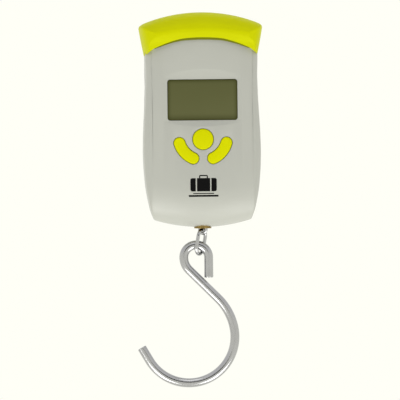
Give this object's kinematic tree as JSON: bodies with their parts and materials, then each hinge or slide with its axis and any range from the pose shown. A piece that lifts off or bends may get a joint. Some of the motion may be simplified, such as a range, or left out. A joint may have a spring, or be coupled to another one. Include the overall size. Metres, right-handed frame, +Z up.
{
  "type": "digital luggage scale",
  "caption": "Hand-held digital luggage scale: casing with grip cap, display and keys, an inner load cell, and an open J hook hung on chain links.",
  "frame": {"origin": "centre of the hand grip (the cap), on the parting plane of the casing", "axes": "+Z up towards the grip, -Y out of the display face, +X to the right seen from the display side"},
  "size_m": [0.0639, 0.028, 0.1875],
  "materials": {
    "casing_grey": "matte moulded, fine sand texture",
    "cap_lime": "satin soft-touch",
    "key_lime": "satin",
    "lens": "clear",
    "lcd": "matt polarizer",
    "white_plastic": "moulded",
    "pcb_green": "solder mask",
    "chip_black": "moulded",
    "steel_wire": "polished nickel plate",
    "screw_steel": "plain",
    "cell_aluminium": "machined",
    "brass": "polished",
    "gauge_foil": "film",
    "battery_blue": "printed sleeve",
    "contact_steel": "plated",
    "lead_red": "insulation"
  },
  "bodies": {
    "casing": {"front_shell": "casing_grey", "rear_shell": "casing_grey", "grip_cap": "cap_lime", "window_lens": "lens", "lcd_panel": "lcd", "display_frame": "white_plastic", "main_pcb": "pcb_green", "pcb_chips": "chip_black", "tact_switches": "chip_black", "load_cell": "cell_aluminium", "strain_gauges": "gauge_foil", "load_cell_screws": "screw_steel", "load_eye": "steel_wire", "battery_upper": "battery_blue", "battery_lower": "battery_blue", "battery_springs": "contact_steel", "battery_plates": "contact_steel", "hook_eyelet": "brass", "case_screws": "screw_steel", "pcb_screws": "screw_steel", "cap_screws": "screw_steel", "gauge_leads": "lead_red", "battery_leads": "lead_red"},
    "key_center_body": {"key_center": "key_lime", "plunger_center": "chip_black"},
    "key_left_body": {"key_left": "key_lime", "plunger_left": "chip_black"},
    "key_right_body": {"key_right": "key_lime", "plunger_right": "chip_black"},
    "battery_door_body": {"battery_door": "casing_grey"},
    "upper_link_body": {"upper_link": "steel_wire"},
    "lower_link_body": {"lower_link": "steel_wire"},
    "hook_body": {"hook": "steel_wire"}
  },
  "joints": [
    {"name": "key_center_press", "type": "slide", "parent": "casing", "child": "key_center_body", "axis": [0, 1, 0], "range_m": [0, 0.0004], "stiffness_N_per_m": 1500},
    {"name": "key_left_press", "type": "slide", "parent": "casing", "child": "key_left_body", "axis": [0, 1, 0], "range_m": [0, 0.0004], "stiffness_N_per_m": 1500},
    {"name": "key_right_press", "type": "slide", "parent": "casing", "child": "key_right_body", "axis": [0, 1, 0], "range_m": [0, 0.0004], "stiffness_N_per_m": 1500},
    {"name": "battery_door_open", "type": "hinge", "parent": "casing", "child": "battery_door_body", "pos_m": [0, 0.01185, -0.0196], "axis": [1, 0, 0], "range_deg": [0, 55]},
    {"name": "upper_link_swing", "type": "hinge", "parent": "casing", "child": "upper_link_body", "pos_m": [0, 0, -0.0914], "axis": [0.7071, 0.7071, 0], "range_deg": [-2.5, 2.5]},
    {"name": "lower_link_swing", "type": "hinge", "parent": "upper_link_body", "child": "lower_link_body", "pos_m": [0, 0, -0.1037], "axis": [0.7071, -0.7071, 0], "range_deg": [-20, 30]},
    {"name": "hook_swing", "type": "hinge", "parent": "lower_link_body", "child": "hook_body", "pos_m": [-0.0021, 0, -0.114], "axis": [0, 1, 0], "range_deg": [-40, 40]}
  ]
}
